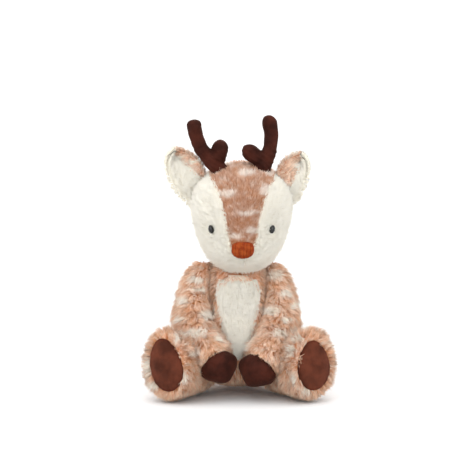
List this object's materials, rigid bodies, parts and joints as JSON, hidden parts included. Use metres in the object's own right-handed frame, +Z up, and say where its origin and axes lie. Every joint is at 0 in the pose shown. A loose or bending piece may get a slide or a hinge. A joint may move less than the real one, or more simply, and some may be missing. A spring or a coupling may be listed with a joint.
{
  "type": "plush deer",
  "caption": "Seated stuffed fawn in spotted long-pile fabric, with a cream face and belly, velour antlers, paws and soles, and limbs, head, ears and tail that move.",
  "frame": {"origin": "centre of the flat patch of the torso that rests on the floor", "axes": "+Z up, -Y the way the face looks, +X the toy's own left"},
  "size_m": [0.177, 0.1653, 0.2651],
  "materials": {
    "spotted_fur": "long pile, tan with pinkish-white spots",
    "cream_fur": "short dense pile",
    "velour": "short nap, dark brown",
    "sole_velour": "short nap, brown",
    "stuffing": "loose polyester fibre",
    "pellet_cloth": "woven cloth round plastic pellets",
    "nose_thread": "satin stitch, rust brown",
    "mouth_thread": "thread",
    "eye_plastic": "polished black",
    "washer_plastic": "natural white"
  },
  "bodies": {
    "torso": {"torso_cover": "spotted_fur", "belly_panel": "cream_fur", "torso_stuffing": "stuffing", "pellet_pouch": "pellet_cloth"},
    "head": {"head_gusset": "spotted_fur", "face_panel_left": "cream_fur", "face_panel_right": "cream_fur", "head_stuffing": "stuffing", "eye_left": "eye_plastic", "eye_right": "eye_plastic", "eye_washer_left": "washer_plastic", "eye_washer_right": "washer_plastic", "nose": "nose_thread", "mouth_stitch": "mouth_thread"},
    "tail": {"tail_cover": "spotted_fur", "tail_stuffing": "stuffing"},
    "ear_left": {"ear_outer_left": "spotted_fur", "ear_lining_left": "cream_fur"},
    "antler_left": {"antler_cover_left": "velour", "antler_stuffing_left": "stuffing"},
    "arm_left": {"sleeve_left": "spotted_fur", "paw_left": "velour", "arm_stuffing_left": "stuffing"},
    "leg_left": {"leg_cover_left": "spotted_fur", "sole_left": "sole_velour", "leg_stuffing_left": "stuffing"},
    "ear_right": {"ear_outer_right": "spotted_fur", "ear_lining_right": "cream_fur"},
    "antler_right": {"antler_cover_right": "velour", "antler_stuffing_right": "stuffing"},
    "arm_right": {"sleeve_right": "spotted_fur", "paw_right": "velour", "arm_stuffing_right": "stuffing"},
    "leg_right": {"leg_cover_right": "spotted_fur", "sole_right": "sole_velour", "leg_stuffing_right": "stuffing"}
  },
  "joints": [
    {"name": "head_turn", "type": "hinge", "parent": "torso", "child": "head", "pos_m": [0.003, -0.006, 0.117], "axis": [0, 0, 1], "range_deg": [-18, 18], "stiffness_Nm_per_rad": 0.05},
    {"name": "tail_wag", "type": "hinge", "parent": "torso", "child": "tail", "pos_m": [0, 0.046, 0.038], "axis": [0, 0, 1], "range_deg": [-25, 25], "stiffness_Nm_per_rad": 0.01},
    {"name": "arm_left_lift", "type": "hinge", "parent": "torso", "child": "arm_left", "pos_m": [0.0264, -0.003, 0.107], "axis": [-1, 0, 0], "range_deg": [0, 45]},
    {"name": "leg_left_spread", "type": "hinge", "parent": "torso", "child": "leg_left", "pos_m": [0.036, -0.02, 0.0245], "axis": [0, 0, 1], "range_deg": [0, 32]},
    {"name": "ear_left_fold", "type": "hinge", "parent": "head", "child": "ear_left", "pos_m": [0.04648, -0.005, 0.192], "axis": [-0.3493, 0, 0.937], "range_deg": [-12, 12], "stiffness_Nm_per_rad": 0.01},
    {"name": "antler_left_bend", "type": "hinge", "parent": "head", "child": "antler_left", "pos_m": [0.024, -0.015, 0.21624], "axis": [0, 1, 0], "range_deg": [-10, 10], "stiffness_Nm_per_rad": 0.02},
    {"name": "arm_right_lift", "type": "hinge", "parent": "torso", "child": "arm_right", "pos_m": [-0.0264, -0.003, 0.107], "axis": [-1, 0, 0], "range_deg": [0, 45]},
    {"name": "leg_right_spread", "type": "hinge", "parent": "torso", "child": "leg_right", "pos_m": [-0.036, -0.02, 0.0245], "axis": [0, 0, -1], "range_deg": [0, 32]},
    {"name": "ear_right_fold", "type": "hinge", "parent": "head", "child": "ear_right", "pos_m": [-0.04046, -0.005, 0.192], "axis": [0.3484, 0, 0.9373], "range_deg": [-12, 12], "stiffness_Nm_per_rad": 0.01},
    {"name": "antler_right_bend", "type": "hinge", "parent": "head", "child": "antler_right", "pos_m": [-0.02, -0.015, 0.21516], "axis": [0, 1, 0], "range_deg": [-10, 10], "stiffness_Nm_per_rad": 0.02}
  ]
}
